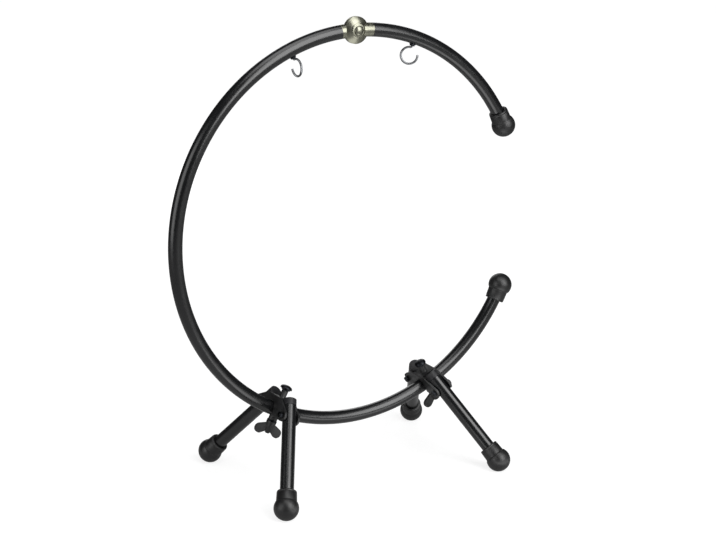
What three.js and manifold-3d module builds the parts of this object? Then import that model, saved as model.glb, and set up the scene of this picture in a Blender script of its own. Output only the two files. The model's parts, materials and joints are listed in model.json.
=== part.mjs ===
// Gong stand: a C-shaped ring of round tube on four folding legs, with an upper arm on a knuckle.
// Millimetres, +Z up, front towards -Y, the ring open towards +X.
import * as THREE from "three";
import { mergeVertices } from "three/addons/utils/BufferGeometryUtils.js";
import Module from "manifold-3d";

const wasm = await Module();
wasm.setup();

// Ring and tube
const tubeDiameter = 22.2;
const tubeWall = 1.5;
const ringRadius = 320;
const armTipAngle = 66.4;
const lowerTipAngle = 111.2;

// Legs
const bracketAngle = 27.2;
const legSplay = 37.5;
const legReach = 153;
const legPivotOut = 42;
const footRest = 18;

// Clearances
const fitGap = 0.3;
const curveGap = 0.5;
const legSideGap = 0.5;
const sweepGap = 1;
const cutOverrun = 5;

// Leg bracket
const bracketPlate = 3.5;
const bracketTop = 22;
const bracketShoulder = 23;
const bracketEar = 9.5;
const bossHalf = 13.4;
const neckRadius = 5.5;
const neckTop = 34.5;

// Bolts, nuts and washers
const clampBoltDiameter = 8;
const clampHeadDiameter = 20;
const clampHeadHeight = 6.5;
const clampBoltTail = 41;
const pivotBoltDiameter = 6;
const pivotHeadDiameter = 11;
const pivotHeadHeight = 4;
const pivotNutFlats = 10;
const pivotNutHeight = 5;
const washerThickness = 1.6;
const washerDiameter = 17;
const headWasherDiameter = 15;
const saddleDiameter = 15;
const saddleBase = 18;

// Wing nut
const wingSpan = 51;
const wingHeight = 24.5;
const wingThickness = 4;
const hubDiameter = 17;
const hubTopDiameter = 13.5;
const hubHeight = 18.5;

// Knuckle
const knuckleAngle = -1.2;
const knuckleDiameter = 43;
const knuckleRim = 2.8;
const collarReach = 28.5;
const spigotLength = 24;
const frictionDiameter = 38;
const frictionThickness = 1.2;
const knuckleHeadDiameter = 15;
const knuckleHeadHeight = 4.5;
const knuckleSeatDepth = 1.2;
const knuckleBoltTail = 33;
const screwDiameter = 4;
const screwHeadDiameter = 8;
const screwHeadHeight = 2.4;
const screwLength = 9;
const screwInset = 12;

// Rubber ends
const bulbWall = 8.9;
const bulbFlat = 0.5;
const sleeveWall = 5.4;
const sleeveTaper = 0.5;
const sleeveTop = 28;
const sleeveRimRound = 1.5;
const boreFloor = 2;

// Plugs in the legs' top ends
const plugCap = 12;
const plugDepth = 10;
const plugChamfer = 1;

// Hooks
const leftHookAngle = -22.5;
const rightHookAngle = 18.8;
const hookWire = 3.6;
const hookLoopRadius = 13.3;
const hookBend = 2.2;
const hookNutFlats = 8;
const hookNutHeight = 1.8;
const insertFlange = 10.5;
const insertFlangeHeight = 0.8;
const insertBarrel = 6.6;
const insertLength = 10;
const shankAbove = 2;
const leftHookTurn = -148;
const rightHookTurn = -31;
const hookMouth = 79;

// Numbers of facets
const tubeSides = 16;
const boreSides = 8;
const roundSides = 16;
const lensSides = 24;
const smallSides = 12;
const wireSides = 8;
const ringStep = 4;
const domeSteps = 3;

const radians = THREE.MathUtils.degToRad;
const tubeRadius = tubeDiameter / 2;
const notchRadius = tubeRadius + curveGap;
const ringCentreHeight =
  (ringRadius + legReach * Math.cos(radians(legSplay))) * Math.cos(radians(bracketAngle)) + footRest;
const channelHalf = tubeRadius + legSideGap;
const clampShank = clampBoltDiameter / 2;
const bulbRadius = tubeRadius + bulbWall;
const bulbEnd = bulbRadius - bulbFlat;
const pivotShank = pivotBoltDiameter / 2;

const finishes = {
  blackPaint: new THREE.MeshStandardMaterial({ color: 0x151617, roughness: 0.32, metalness: 0.1 }),
  blackCast: new THREE.MeshStandardMaterial({ color: 0x111213, roughness: 0.5, metalness: 0.1 }),
  blackSteel: new THREE.MeshStandardMaterial({ color: 0x1c1d1f, roughness: 0.4, metalness: 0.8 }),
  rubber: new THREE.MeshStandardMaterial({ color: 0x1d1d1e, roughness: 0.85, metalness: 0 }),
  nickel: new THREE.MeshStandardMaterial({ color: 0x85867a, roughness: 0.28, metalness: 1 }),
  zinc: new THREE.MeshStandardMaterial({ color: 0x6f7072, roughness: 0.35, metalness: 1 }),
  plastic: new THREE.MeshStandardMaterial({ color: 0x161617, roughness: 0.6, metalness: 0 }),
};

// Solids

function solidFrom(geometry) {
  const bare = geometry.clone();
  bare.deleteAttribute("normal");
  bare.deleteAttribute("uv");
  const merged = mergeVertices(bare);
  const triVerts = new Uint32Array(merged.index.array);
  const vertProperties = merged.attributes.position.array;
  return new wasm.Manifold(new wasm.Mesh({ numProp: 3, vertProperties, triVerts }));
}

function geometryFrom(solid) {
  const mesh = solid.getMesh();
  const geometry = new THREE.BufferGeometry();
  geometry.setAttribute("position", new THREE.BufferAttribute(mesh.vertProperties, 3));
  geometry.setIndex(new THREE.BufferAttribute(mesh.triVerts, 1));
  geometry.computeVertexNormals();
  return geometry;
}

function join(...geometries) {
  return geometryFrom(geometries.map(solidFrom).reduce((whole, next) => whole.add(next)));
}

function cut(geometry, ...tools) {
  const solids = tools.map(solidFrom);
  return geometryFrom(solids.reduce((whole, tool) => whole.subtract(tool), solidFrom(geometry)));
}

// A round bar along one axis, between two places on it.
function bar(axis, radius, from, to, sides = roundSides) {
  const geometry = new THREE.CylinderGeometry(radius, radius, to - from, sides);
  geometry.translate(0, (from + to) / 2, 0);
  if (axis === "x") geometry.rotateZ(-Math.PI / 2);
  if (axis === "z") geometry.rotateX(Math.PI / 2);
  return geometry;
}

function block(x, y, z) {
  const geometry = new THREE.BoxGeometry(x[1] - x[0], y[1] - y[0], z[1] - z[0]);
  return geometry.translate((x[0] + x[1]) / 2, (y[0] + y[1]) / 2, (z[0] + z[1]) / 2);
}

// A turned piece from a list of [radius, height] places, its axis along Z.
function turned(profile, sides = roundSides) {
  const points = profile.map(([radius, height]) => new THREE.Vector2(radius, height));
  return new THREE.LatheGeometry(points, sides).rotateX(Math.PI / 2);
}

function annulus(inner, outer, from, to, sides = roundSides) {
  return turned([[inner, from], [outer, from], [outer, to], [inner, to], [inner, from]], sides);
}

// A hexagonal nut with its bore, from zero to its height along Z.
function hexNut(flats, height, boreRadius) {
  const corners = flats / Math.sqrt(3);
  const outline = new THREE.Shape();
  for (let i = 0; i < hexSides; i += 1) {
    const angle = (2 * Math.PI * i) / hexSides;
    outline[i ? "lineTo" : "moveTo"](corners * Math.cos(angle), corners * Math.sin(angle));
  }
  outline.closePath();
  outline.holes.push(new THREE.Path().absarc(0, 0, boreRadius, 0, 2 * Math.PI, true));
  const settings = { depth: height, bevelEnabled: false, curveSegments: smallSides / 2 };
  return new THREE.ExtrudeGeometry(outline, settings);
}
const hexSides = 6;

// A bolt with a domed head above zero and its shank below.
function domedBolt(shankRadius, shankLength, headRadius, headHeight, sides = roundSides) {
  const rim = headHeight * headRimShare;
  const profile = [[0, -shankLength], [shankRadius, -shankLength], [shankRadius, 0], [headRadius, 0]];
  for (let i = 0; i <= domeSteps; i += 1) {
    const angle = (i / domeSteps) * (Math.PI / 2);
    profile.push([headRadius * Math.cos(angle), rim + (headHeight - rim) * Math.sin(angle)]);
  }
  profile[profile.length - 1][0] = 0;
  return turned(profile, sides);
}
const headRimShare = 0.25;

// The ring's circle in its own plane, angles in degrees clockwise from the top as seen from the front.
function ringPoint(angle) {
  const outward = new THREE.Vector3(Math.sin(radians(angle)), 0, Math.cos(radians(angle)));
  return outward.multiplyScalar(ringRadius);
}

class RingArc extends THREE.Curve {
  constructor(from, to) {
    super();
    this.from = from;
    this.to = to;
  }

  getPoint(t) {
    return ringPoint(THREE.MathUtils.lerp(this.from, this.to, t));
  }
}

function arcBar(radius, from, to, innerRadius = 0) {
  const section = new THREE.Shape();
  addCircle(section, radius, tubeSides);
  if (innerRadius) {
    const bore = new THREE.Path();
    addCircle(bore, innerRadius, boreSides);
    section.holes.push(bore);
  }
  const steps = Math.ceil(Math.abs(to - from) / ringStep);
  const extrudePath = new RingArc(from, to);
  return new THREE.ExtrudeGeometry(section, { steps, bevelEnabled: false, extrudePath });
}

function addCircle(path, radius, sides) {
  for (let i = 0; i < sides; i += 1) {
    const angle = (2 * Math.PI * i) / sides;
    path[i ? "lineTo" : "moveTo"](radius * Math.cos(angle), radius * Math.sin(angle));
  }
  path.closePath();
}

// The same bar as seen from a place on the ring, where Z points out of the ring and X runs along it.
function localArcBar(radius, from, to) {
  return arcBar(radius, from, to).translate(0, 0, -ringRadius);
}

function ringDegrees(length) {
  return THREE.MathUtils.radToDeg(length / ringRadius);
}

function atRing(geometry, angle) {
  const place = ringPoint(angle);
  return geometry.clone().rotateY(radians(angle)).translate(place.x, place.y, place.z);
}

// Scene graph helpers

const stand = new THREE.Group();
const ring = new THREE.Group();
ring.position.z = ringCentreHeight;
stand.add(ring);

function addMesh(parent, name, geometry, finish) {
  const mesh = new THREE.Mesh(geometry, finish);
  mesh.name = name;
  parent.add(mesh);
  return mesh;
}

function ringStation(angle) {
  const station = new THREE.Group();
  station.position.copy(ringPoint(angle));
  station.rotation.y = radians(angle);
  ring.add(station);
  return station;
}

// Ring tubes, with the holes for what is fastened through them

const bracketPlaces = { left: 180 + bracketAngle, right: 180 - bracketAngle };
const collarAngle = ringDegrees(collarReach);
const screwAngle = ringDegrees(collarReach + screwInset);
const tipEndAngle = ringDegrees(bulbEnd + boreFloor + fitGap);
const armEnd = armTipAngle - tipEndAngle;
const lowerEnd = lowerTipAngle + tipEndAngle;

function radialHole(radius, angle) {
  return atRing(bar("z", radius, -tubeRadius - cutOverrun, tubeRadius + cutOverrun, smallSides), angle);
}

function insertHole(angle) {
  return atRing(bar("z", insertBarrel / 2 + fitGap, -tubeRadius - cutOverrun, 0, smallSides), angle);
}

function screwHole(angle) {
  return atRing(bar("y", screwDiameter / 2 + fitGap, 0, tubeRadius + cutOverrun, smallSides), angle);
}

const innerRadius = tubeRadius - tubeWall;
const boreFlats = innerRadius * Math.cos(Math.PI / boreSides);
const tubeStart = ringDegrees(collarReach + fitGap);
const longTube = cut(
  arcBar(tubeRadius, lowerEnd, 360 + knuckleAngle - tubeStart, innerRadius),
  radialHole(clampShank + fitGap, bracketPlaces.left),
  radialHole(clampShank + fitGap, bracketPlaces.right),
  insertHole(leftHookAngle),
  screwHole(knuckleAngle - screwAngle),
);
addMesh(ring, "long_ring_tube", longTube, finishes.blackPaint);

const armTube = cut(
  arcBar(tubeRadius, knuckleAngle + tubeStart, armEnd, innerRadius),
  insertHole(rightHookAngle),
  screwHole(knuckleAngle + screwAngle),
);
addMesh(ring, "arm_tube", armTube, finishes.blackPaint);

// Rubber end: a ball with a sleeve over the tube's end. Zero is the ball's centre, the tube comes from +Z.
function rubberEnd() {
  const ball = bulbRadius;
  const sleeve = tubeRadius + sleeveWall;
  const rim = sleeve - sleeveTaper;
  const bore = tubeRadius + fitGap;
  const low = Math.asin(-bulbEnd / ball);
  const high = Math.acos(sleeve / ball);
  const profile = [[0, -bulbEnd]];
  for (let i = 0; i <= bulbSteps; i += 1) {
    const angle = THREE.MathUtils.lerp(low, high, i / bulbSteps);
    profile.push([ball * Math.cos(angle), ball * Math.sin(angle)]);
  }
  profile.push([rim, sleeveTop - sleeveRimRound], [rim - sleeveRimRound, sleeveTop]);
  profile.push([bore, sleeveTop], [bore, boreFloor], [0, boreFloor]);
  return turned(profile);
}
const bulbSteps = 5;

// The ends on the ring turn their bore along the ring's curve.
function ringEnd(tipAngle, direction) {
  const middle = ringDegrees(bulbEnd) * direction;
  const group = ringStation(tipAngle - middle);
  const whole = join(rubberEnd(), bar("z", notchRadius + fitGap, boreFloor - fitGap, sleeveTop));
  const turn = (-direction * Math.PI) / 2;
  const placed = whole.rotateY(turn);
  const boreStart = ringDegrees(boreFloor) * direction;
  const boreEnd = ringDegrees(sleeveTop + cutOverrun) * direction;
  const bore = localArcBar(notchRadius, -boreStart, -boreEnd);
  return [group, cut(placed, bore)];
}

const [armTipStation, armTip] = ringEnd(armTipAngle, 1);
addMesh(armTipStation, "arm_rubber_end", armTip, finishes.rubber);
const [lowerTipStation, lowerTip] = ringEnd(lowerTipAngle, -1);
addMesh(lowerTipStation, "lower_rubber_end", lowerTip, finishes.rubber);

// Wing nut: tapered hub with a bore and two ears along X, its seat at zero and its ears above.
function wingNut(boreRadius) {
  const hub = turned([[0, 0], [hubDiameter / 2, 0], [hubTopDiameter / 2, hubHeight], [0, hubHeight]]);
  const outer = wingSpan / 2;
  const ear = new THREE.Shape();
  ear.moveTo(0, hubHeight * earRootShare);
  ear.lineTo(outer * earKneeShare, hubHeight * earRootShare);
  ear.quadraticCurveTo(outer, wingHeight * earLowShare, outer, wingHeight * earMidShare);
  ear.quadraticCurveTo(outer, wingHeight, outer * earTopShare, wingHeight);
  ear.quadraticCurveTo(outer * earDipShare, wingHeight, outer * earDipShare, hubHeight * earDropShare);
  ear.lineTo(0, hubHeight * earDropShare);
  ear.closePath();
  const depth = { depth: wingThickness, bevelEnabled: false, curveSegments: domeSteps };
  const right = new THREE.ExtrudeGeometry(ear, depth);
  right.translate(0, 0, -wingThickness / 2).rotateX(Math.PI / 2);
  const left = right.clone().rotateZ(Math.PI);
  return cut(join(hub, right, left), bar("z", boreRadius, -cutOverrun, hubHeight + cutOverrun, smallSides));
}
const earRootShare = 0.25;
const earKneeShare = 0.5;
const earLowShare = 0.4;
const earMidShare = 0.72;
const earTopShare = 0.8;
const earDipShare = 0.5;
const earDropShare = 0.85;

// Leg bracket in its station's frame: Z out of the ring, X along the tube, Y across.

const splay = radians(legSplay);
const legTopReach =
  (legPivotOut - tubeRadius * Math.cos(splay) - bossHalf - fitGap) / Math.sin(splay);

// How far out the leg's inner side is at a height above the tube's axis, less the sweep gap.
function legInnerSide(height) {
  return legPivotOut - height * Math.tan(splay) - tubeRadius / Math.cos(splay) - sweepGap;
}

// Turns an outline drawn across the bracket, its second axis into the ring, into a plate along X.
function acrossBracket(outline, from, to) {
  const settings = { depth: to - from, bevelEnabled: false, curveSegments: domeSteps };
  const geometry = new THREE.ExtrudeGeometry(outline, settings);
  const across = new THREE.Vector3(0, 1, 0);
  const inward = new THREE.Vector3(0, 0, -1);
  const along = new THREE.Vector3(-1, 0, 0);
  return geometry.applyMatrix4(new THREE.Matrix4().makeBasis(across, inward, along)).translate(to, 0, 0);
}

function bracketOutline() {
  const outline = new THREE.Shape();
  outline.moveTo(bracketShoulder, bracketTop);
  outline.absarc(legPivotOut, 0, bracketEar, splay, -Math.PI / 2, true);
  outline.absarc(-legPivotOut, 0, bracketEar, -Math.PI / 2, Math.PI - splay, true);
  outline.lineTo(-bracketShoulder, bracketTop);
  outline.closePath();
  return outline;
}

function webOutline() {
  const waist = (legPivotOut - tubeRadius / Math.cos(splay) - sweepGap - bossHalf) / Math.tan(splay);
  const foot = legInnerSide(tubeRadius);
  const outline = new THREE.Shape();
  outline.moveTo(foot, tubeRadius);
  outline.lineTo(bossHalf, waist);
  outline.lineTo(bossHalf, bracketTop);
  outline.lineTo(-bossHalf, bracketTop);
  outline.lineTo(-bossHalf, waist);
  outline.lineTo(-foot, tubeRadius);
  outline.closePath();
  return outline;
}

function bracketBody() {
  const plateOuter = channelHalf + bracketPlate;
  const nearPlate = acrossBracket(bracketOutline(), channelHalf, plateOuter);
  const farPlate = acrossBracket(bracketOutline(), -plateOuter, -channelHalf);
  const web = acrossBracket(webOutline(), -channelHalf - bracketPlate / 2, channelHalf + bracketPlate / 2);
  const neck = bar("z", neckRadius, -neckTop, -bracketTop + bracketPlate);
  const notchAngle = ringDegrees(plateOuter + cutOverrun);
  const slotLength = plateOuter + cutOverrun;
  const slot = block([-slotLength, slotLength], [-notchRadius, notchRadius], [0, bracketEar + cutOverrun]);
  const tools = [localArcBar(notchRadius, -notchAngle, notchAngle), slot];
  tools.push(bar("z", clampShank + fitGap, -neckTop - cutOverrun, 0, smallSides));
  for (const side of [-1, 1]) {
    const hole = bar("x", pivotShank + fitGap, -slotLength, slotLength, smallSides);
    tools.push(hole.translate(0, side * legPivotOut, 0));
  }
  return cut(join(nearPlate, farPlate, web, neck), ...tools);
}

const headSeat = neckTop + fitGap + washerThickness + fitGap;
const nutSeat = saddleBase + fitGap + washerThickness + fitGap;
const legTubeEnd = legReach - boreFloor - fitGap;
const legTubeTop = -legTopReach + plugCap;

function legTube() {
  const outer = bar("z", tubeRadius, legTubeTop, legTubeEnd, tubeSides);
  const inner = bar("z", innerRadius, legTubeTop - cutOverrun, legTubeEnd + cutOverrun, boreSides);
  const hole = bar("x", pivotShank + fitGap, -tubeRadius - cutOverrun, tubeRadius + cutOverrun, smallSides);
  return cut(outer, inner, hole);
}

function legPlug() {
  const stem = boreFlats - fitGap;
  const top = -legTopReach;
  const seat = legTubeTop - fitGap;
  return turned([
    [0, top],
    [tubeRadius - plugChamfer, top],
    [tubeRadius, top + plugChamfer],
    [tubeRadius, seat],
    [stem, seat],
    [stem, seat + plugDepth],
    [0, seat + plugDepth],
  ]);
}

// The foot's rubber is pressed flat where it stands.
function footOnFloor(holder) {
  stand.updateMatrixWorld(true);
  const reach = 2 * bulbRadius;
  const floor = block([-reach, reach], [-reach, reach], [-reach, 0]);
  const place = new THREE.Vector3().setFromMatrixPosition(holder.matrixWorld);
  floor.translate(place.x, place.y, 0).applyMatrix4(holder.matrixWorld.clone().invert());
  return cut(rubberEnd().rotateX(Math.PI), floor);
}

function addLeg(station, side, end, across) {
  const leg = new THREE.Group();
  leg.position.y = across * legPivotOut;
  leg.rotation.x = -across * splay;
  station.add(leg);
  const name = side + "_" + end;
  addMesh(leg, name + "_leg_tube", legTube(), finishes.blackPaint);
  addMesh(leg, name + "_leg_plug", legPlug(), finishes.plastic);
  const holder = new THREE.Group();
  holder.position.z = legReach;
  leg.add(holder);
  addMesh(holder, name + "_foot", footOnFloor(holder), finishes.rubber);

  const headFace = channelHalf + bracketPlate + fitGap;
  const shankLength = 2 * headFace + pivotNutHeight;
  const bolt = domedBolt(pivotShank, shankLength, pivotHeadDiameter / 2, pivotHeadHeight, smallSides);
  const pivotBolt = addMesh(station, name + "_pivot_bolt", bolt.rotateY(-Math.PI / 2), finishes.blackSteel);
  pivotBolt.position.set(-headFace, leg.position.y, 0);
  const nut = hexNut(pivotNutFlats, pivotNutHeight, pivotShank + fitGap).rotateY(Math.PI / 2);
  const pivotNut = addMesh(station, name + "_pivot_nut", nut, finishes.blackSteel);
  pivotNut.position.set(headFace, leg.position.y, 0);
}

function addBracket(side) {
  const station = ringStation(bracketPlaces[side]);
  addMesh(station, side + "_leg_bracket", bracketBody(), finishes.blackCast);

  const washer = annulus(clampShank + fitGap, headWasherDiameter / 2, 0, washerThickness);
  const headWasher = addMesh(station, side + "_head_washer", washer, finishes.blackSteel);
  headWasher.position.z = -neckTop - fitGap - washerThickness;

  const boltLength = headSeat + clampBoltTail;
  const bolt = domedBolt(clampShank, boltLength, clampHeadDiameter / 2, clampHeadHeight).rotateX(Math.PI);
  const clampBolt = addMesh(station, side + "_clamp_bolt", bolt, finishes.blackSteel);
  clampBolt.position.z = -headSeat;

  const seatAngle = ringDegrees(saddleDiameter);
  const pad = annulus(clampShank + fitGap, saddleDiameter / 2, tubeRadius * saddleWrapShare, saddleBase);
  const saddle = cut(pad, localArcBar(notchRadius, -seatAngle, seatAngle));
  addMesh(station, side + "_saddle", saddle, finishes.blackCast);

  const lowerWasher = annulus(clampShank + fitGap, washerDiameter / 2, 0, washerThickness);
  const nutWasher = addMesh(station, side + "_nut_washer", lowerWasher, finishes.blackSteel);
  nutWasher.position.z = saddleBase + fitGap;

  const nut = addMesh(station, side + "_wing_nut", wingNut(clampShank + fitGap), finishes.blackCast);
  nut.position.z = nutSeat;

  addLeg(station, side, "front", -1);
  addLeg(station, side, "rear", 1);
}
const saddleWrapShare = 0.7;

addBracket("left");
addBracket("right");

// Knuckle at the top of the ring. Each casting is half of a lens-shaped boss with a collar on one side.

const knuckleRadius = knuckleDiameter / 2;
const splitFace = frictionThickness / 2 + fitGap;
const knuckleShank = clampBoltDiameter / 2;

function knuckleCasting(screwSide) {
  const far = tubeRadius + cutOverrun;
  const profile = [[0, splitFace], [knuckleRadius, splitFace]];
  for (let i = 0; i <= bulbSteps; i += 1) {
    const angle = (i / bulbSteps) * (Math.PI / 2);
    const height = knuckleRim + (tubeRadius - knuckleRim) * Math.sin(angle) ** 2;
    profile.push([knuckleRadius * Math.cos(angle), height]);
  }
  profile[profile.length - 1][0] = 0;
  const boss = turned(profile, lensSides).rotateX(Math.PI / 2);
  const behindSplit = bar("y", knuckleRadius + sweepGap, -splitFace, far);
  const collar = cut(localArcBar(tubeRadius, ringDegrees(knuckleRadius / 2), collarAngle), behindSplit);
  const spigotRadius = boreFlats - curveGap;
  const spigotEnd = ringDegrees(collarReach + spigotLength);
  const spigot = localArcBar(spigotRadius, ringDegrees(collarReach - tubeWall), spigotEnd);
  const seat = tubeRadius - knuckleSeatDepth;
  const boltHole = bar("y", knuckleShank + fitGap, -far, far, smallSides);
  const headPocket = bar("y", knuckleHeadDiameter / 2 + fitGap, -far, -seat);
  const pilot = bar("y", screwDiameter / 2 + fitGap, 0, far, smallSides);
  if (screwSide < 0) pilot.rotateZ(Math.PI);
  const pilotPlace = ringPoint(screwAngle);
  pilot.translate(pilotPlace.x, 0, pilotPlace.z - ringRadius);
  return cut(join(boss, collar, spigot), boltHole, headPocket, pilot);
}

const top = ringStation(knuckleAngle);
addMesh(top, "arm_knuckle", knuckleCasting(1), finishes.nickel);
addMesh(top, "ring_knuckle", knuckleCasting(-1).rotateZ(Math.PI), finishes.nickel);

const frictionHalf = frictionThickness / 2;
const frictionRing = annulus(knuckleShank + fitGap, frictionDiameter / 2, -frictionHalf, frictionHalf);
addMesh(top, "knuckle_friction_washer", frictionRing.rotateX(Math.PI / 2), finishes.plastic);

const knuckleSeat = tubeRadius - knuckleSeatDepth + fitGap;
const knuckleBoltLength = knuckleSeat + knuckleBoltTail;
const knuckleBolt = domedBolt(knuckleShank, knuckleBoltLength, knuckleHeadDiameter / 2, knuckleHeadHeight);
const knuckleBoltMesh = addMesh(top, "knuckle_bolt", knuckleBolt.rotateX(Math.PI / 2), finishes.nickel);
knuckleBoltMesh.position.y = -knuckleSeat;

const knuckleWasher = annulus(knuckleShank + fitGap, knuckleHeadDiameter / 2, 0, washerThickness);
knuckleWasher.rotateX(-Math.PI / 2);
const knuckleWasherMesh = addMesh(top, "knuckle_washer", knuckleWasher, finishes.nickel);
knuckleWasherMesh.position.y = knuckleSeat;

const knuckleNut = wingNut(knuckleShank + fitGap).rotateX(-Math.PI / 2);
const knuckleNutSeat = knuckleSeat + washerThickness + fitGap;
addMesh(top, "knuckle_wing_nut", knuckleNut, finishes.nickel).position.y = knuckleNutSeat;

const screwPlaces = { arm: knuckleAngle + screwAngle, ring: knuckleAngle - screwAngle };

for (const [name, angle] of Object.entries(screwPlaces)) {
  const screwHead = screwHeadDiameter / 2;
  const screw = domedBolt(screwDiameter / 2, screwLength, screwHead, screwHeadHeight, smallSides);
  const station = ringStation(angle);
  const mesh = addMesh(station, name + "_knuckle_screw", screw.rotateX(-Math.PI / 2), finishes.blackSteel);
  mesh.position.y = tubeRadius + fitGap;
}

// Hooks: bent wire on a plain shank, held in a threaded insert in the tube's wall

class PlaneArc extends THREE.Curve {
  constructor(centreX, centreZ, radius, from, to) {
    super();
    Object.assign(this, { centreX, centreZ, radius, from, to });
  }

  getPoint(t) {
    const angle = THREE.MathUtils.lerp(this.from, this.to, t);
    const x = this.centreX + this.radius * Math.cos(angle);
    return new THREE.Vector3(x, 0, this.centreZ + this.radius * Math.sin(angle));
  }
}

const flangeFace = -notchRadius - insertFlangeHeight;
const hookNutFace = flangeFace - fitGap - hookNutHeight;
const bendHeight = hookNutFace - fitGap;
const bendOffset = Math.sqrt(hookLoopRadius ** 2 + 2 * hookLoopRadius * hookBend);
const loopHeight = bendHeight - bendOffset;

function hookGeometry() {
  const path = new THREE.CurvePath();
  const shankTop = new THREE.Vector3(0, 0, -shankAbove);
  path.add(new THREE.LineCurve3(shankTop, new THREE.Vector3(0, 0, bendHeight)));
  const lean = Math.atan2(hookBend, bendOffset);
  path.add(new PlaneArc(-hookBend, bendHeight, hookBend, 0, -Math.PI / 2 + lean));
  const mouth = radians(hookMouth);
  path.add(new PlaneArc(0, loopHeight, hookLoopRadius, Math.PI / 2 + lean, Math.PI * 2.5 + lean - mouth));
  const section = new THREE.Shape();
  addCircle(section, hookWire / 2, wireSides);
  return new THREE.ExtrudeGeometry(section, { steps: hookSteps, bevelEnabled: false, extrudePath: path });
}
const hookSteps = 36;

const hookPlaces = [["left", leftHookAngle, leftHookTurn], ["right", rightHookAngle, rightHookTurn]];

for (const [side, angle, turn] of hookPlaces) {
  const station = ringStation(angle);
  const hook = addMesh(station, side + "_hook", hookGeometry(), finishes.zinc);
  hook.rotation.z = radians(turn);

  const bore = hookWire / 2 + fitGap;
  const flange = annulus(bore, insertFlange / 2, flangeFace, -tubeRadius * saddleWrapShare, smallSides);
  const seat = localArcBar(notchRadius, -ringDegrees(insertFlange), ringDegrees(insertFlange));
  const barrel = annulus(bore, insertBarrel / 2, flangeFace, flangeFace + insertLength, smallSides);
  addMesh(station, side + "_hook_insert", join(cut(flange, seat), barrel), finishes.blackSteel);

  const nut = hexNut(hookNutFlats, hookNutHeight, bore);
  addMesh(station, side + "_hook_nut", nut, finishes.blackSteel).position.z = hookNutFace;
}

// The origin is on the floor, under the middle of the whole stand.
stand.updateMatrixWorld(true);
const bounds = new THREE.Box3().setFromObject(stand, true);
stand.position.set(-(bounds.min.x + bounds.max.x) / 2, -(bounds.min.y + bounds.max.y) / 2, -bounds.min.z);

export default stand;
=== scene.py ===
# %% [markdown]
# # A gong stand, piece by piece
# The stand is one round steel tube, bent to a C-shaped ring, on four folding legs. A nickel knuckle
# near the top lets the short upper arm fold down, and two hooks hold the gong's cords. The packed
# CAD model already gives every piece its place and size. It is made of plain facets, so each piece
# is modelled again here, finely, and rides on the same body as the solid that it stands for.

# %% Load the frame
import json
import math

import bpy
from mathutils import Matrix, Vector


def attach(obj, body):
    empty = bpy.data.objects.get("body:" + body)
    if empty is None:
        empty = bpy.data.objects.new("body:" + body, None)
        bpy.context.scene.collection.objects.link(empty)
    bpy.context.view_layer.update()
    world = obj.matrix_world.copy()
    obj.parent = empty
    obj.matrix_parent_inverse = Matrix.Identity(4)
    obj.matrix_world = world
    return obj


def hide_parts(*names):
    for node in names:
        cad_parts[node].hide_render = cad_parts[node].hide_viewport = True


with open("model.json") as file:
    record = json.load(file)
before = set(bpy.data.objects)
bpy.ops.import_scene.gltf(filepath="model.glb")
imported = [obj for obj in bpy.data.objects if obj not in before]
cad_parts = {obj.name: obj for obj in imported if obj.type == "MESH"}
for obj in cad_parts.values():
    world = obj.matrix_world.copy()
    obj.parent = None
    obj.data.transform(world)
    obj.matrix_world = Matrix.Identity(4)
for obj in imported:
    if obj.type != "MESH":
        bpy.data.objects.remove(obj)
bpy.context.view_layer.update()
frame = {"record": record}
record = frame["record"]
joints = {joint["name"]: joint for joint in record["behaviour"]["joints"]}
body_of = {node: body for body, nodes in record["behaviour"]["bodies"].items() for node in nodes}
slot_of = {part["node"]: part["material_slot"] for part in record["subparts"]}

# %% [markdown]
# ## Sizes
# Blender works in metres and a maker thinks in millimetres, so every length below is in millimetres
# and is multiplied by MM where it is used. Diameters are written as such and halved, because a
# radius is what gets used. The ring's place comes from the knuckle's joint in the record, and all
# the rest is placed on the ring by its angle. Cutters go THROUGH a tube, or reach CLEAR of what
# they cut.

# %% Sizes
MM = 0.001
TUBE = 22.2 / 2
WALL = 1.5
RING = 320
FIT = 0.3
CURVED_FIT = 0.5
KNUCKLE_ANGLE = -1.2
ARM_TIP_ANGLE = 66.4
LOWER_TIP_ANGLE = 111.2
BRACKET_ANGLES = {"left": 180 + 27.2, "right": 180 - 27.2}
HOOK_ANGLES = {"left": -22.5, "right": 18.8}
SPLAY = math.radians(37.5)
LEG_REACH = 153
PIVOT_OUT = 42
CLAMP_SHANK = 8 / 2
PIVOT_SHANK = 6 / 2
SCREW_SHANK = 4 / 2
BARREL = 6.6 / 2
THROUGH = 20
CLEAR = 5
TUBE_SIDES = 64

knuckle_place = Vector(joints["arm_fold"]["pos_m"])
knuckle_turn = math.radians(KNUCKLE_ANGLE)
knuckle_arm = Vector((math.sin(knuckle_turn), 0, math.cos(knuckle_turn))) * RING * MM
ring_centre = knuckle_place - knuckle_arm
print("ring centre", tuple(round(value, 4) for value in ring_centre))

# %% [markdown]
# ## Stations
# Everything on the ring is easiest to model at the origin, upright, and then to put in its place. A
# station is such a place: its Z points out of the ring, its X runs along the tube, clockwise from
# the front, and its Y points to the back.


# %% Stations
def station(angle):
    """The place on the ring at an angle in degrees, clockwise from the top."""
    out = Matrix.Translation((0, 0, RING * MM))
    return Matrix.Translation(ring_centre) @ Matrix.Rotation(math.radians(angle), 4, "Y") @ out


def shift(x=0, y=0, z=0):
    """A move by millimetres."""
    return Matrix.Translation((x * MM, y * MM, z * MM))


def turn(degrees, axis):
    """A turn about one axis through the origin."""
    return Matrix.Rotation(math.radians(degrees), 4, axis)


for side, angle in BRACKET_ANGLES.items():
    print(side, "bracket at", tuple(round(value, 4) for value in station(angle).translation))

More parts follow.
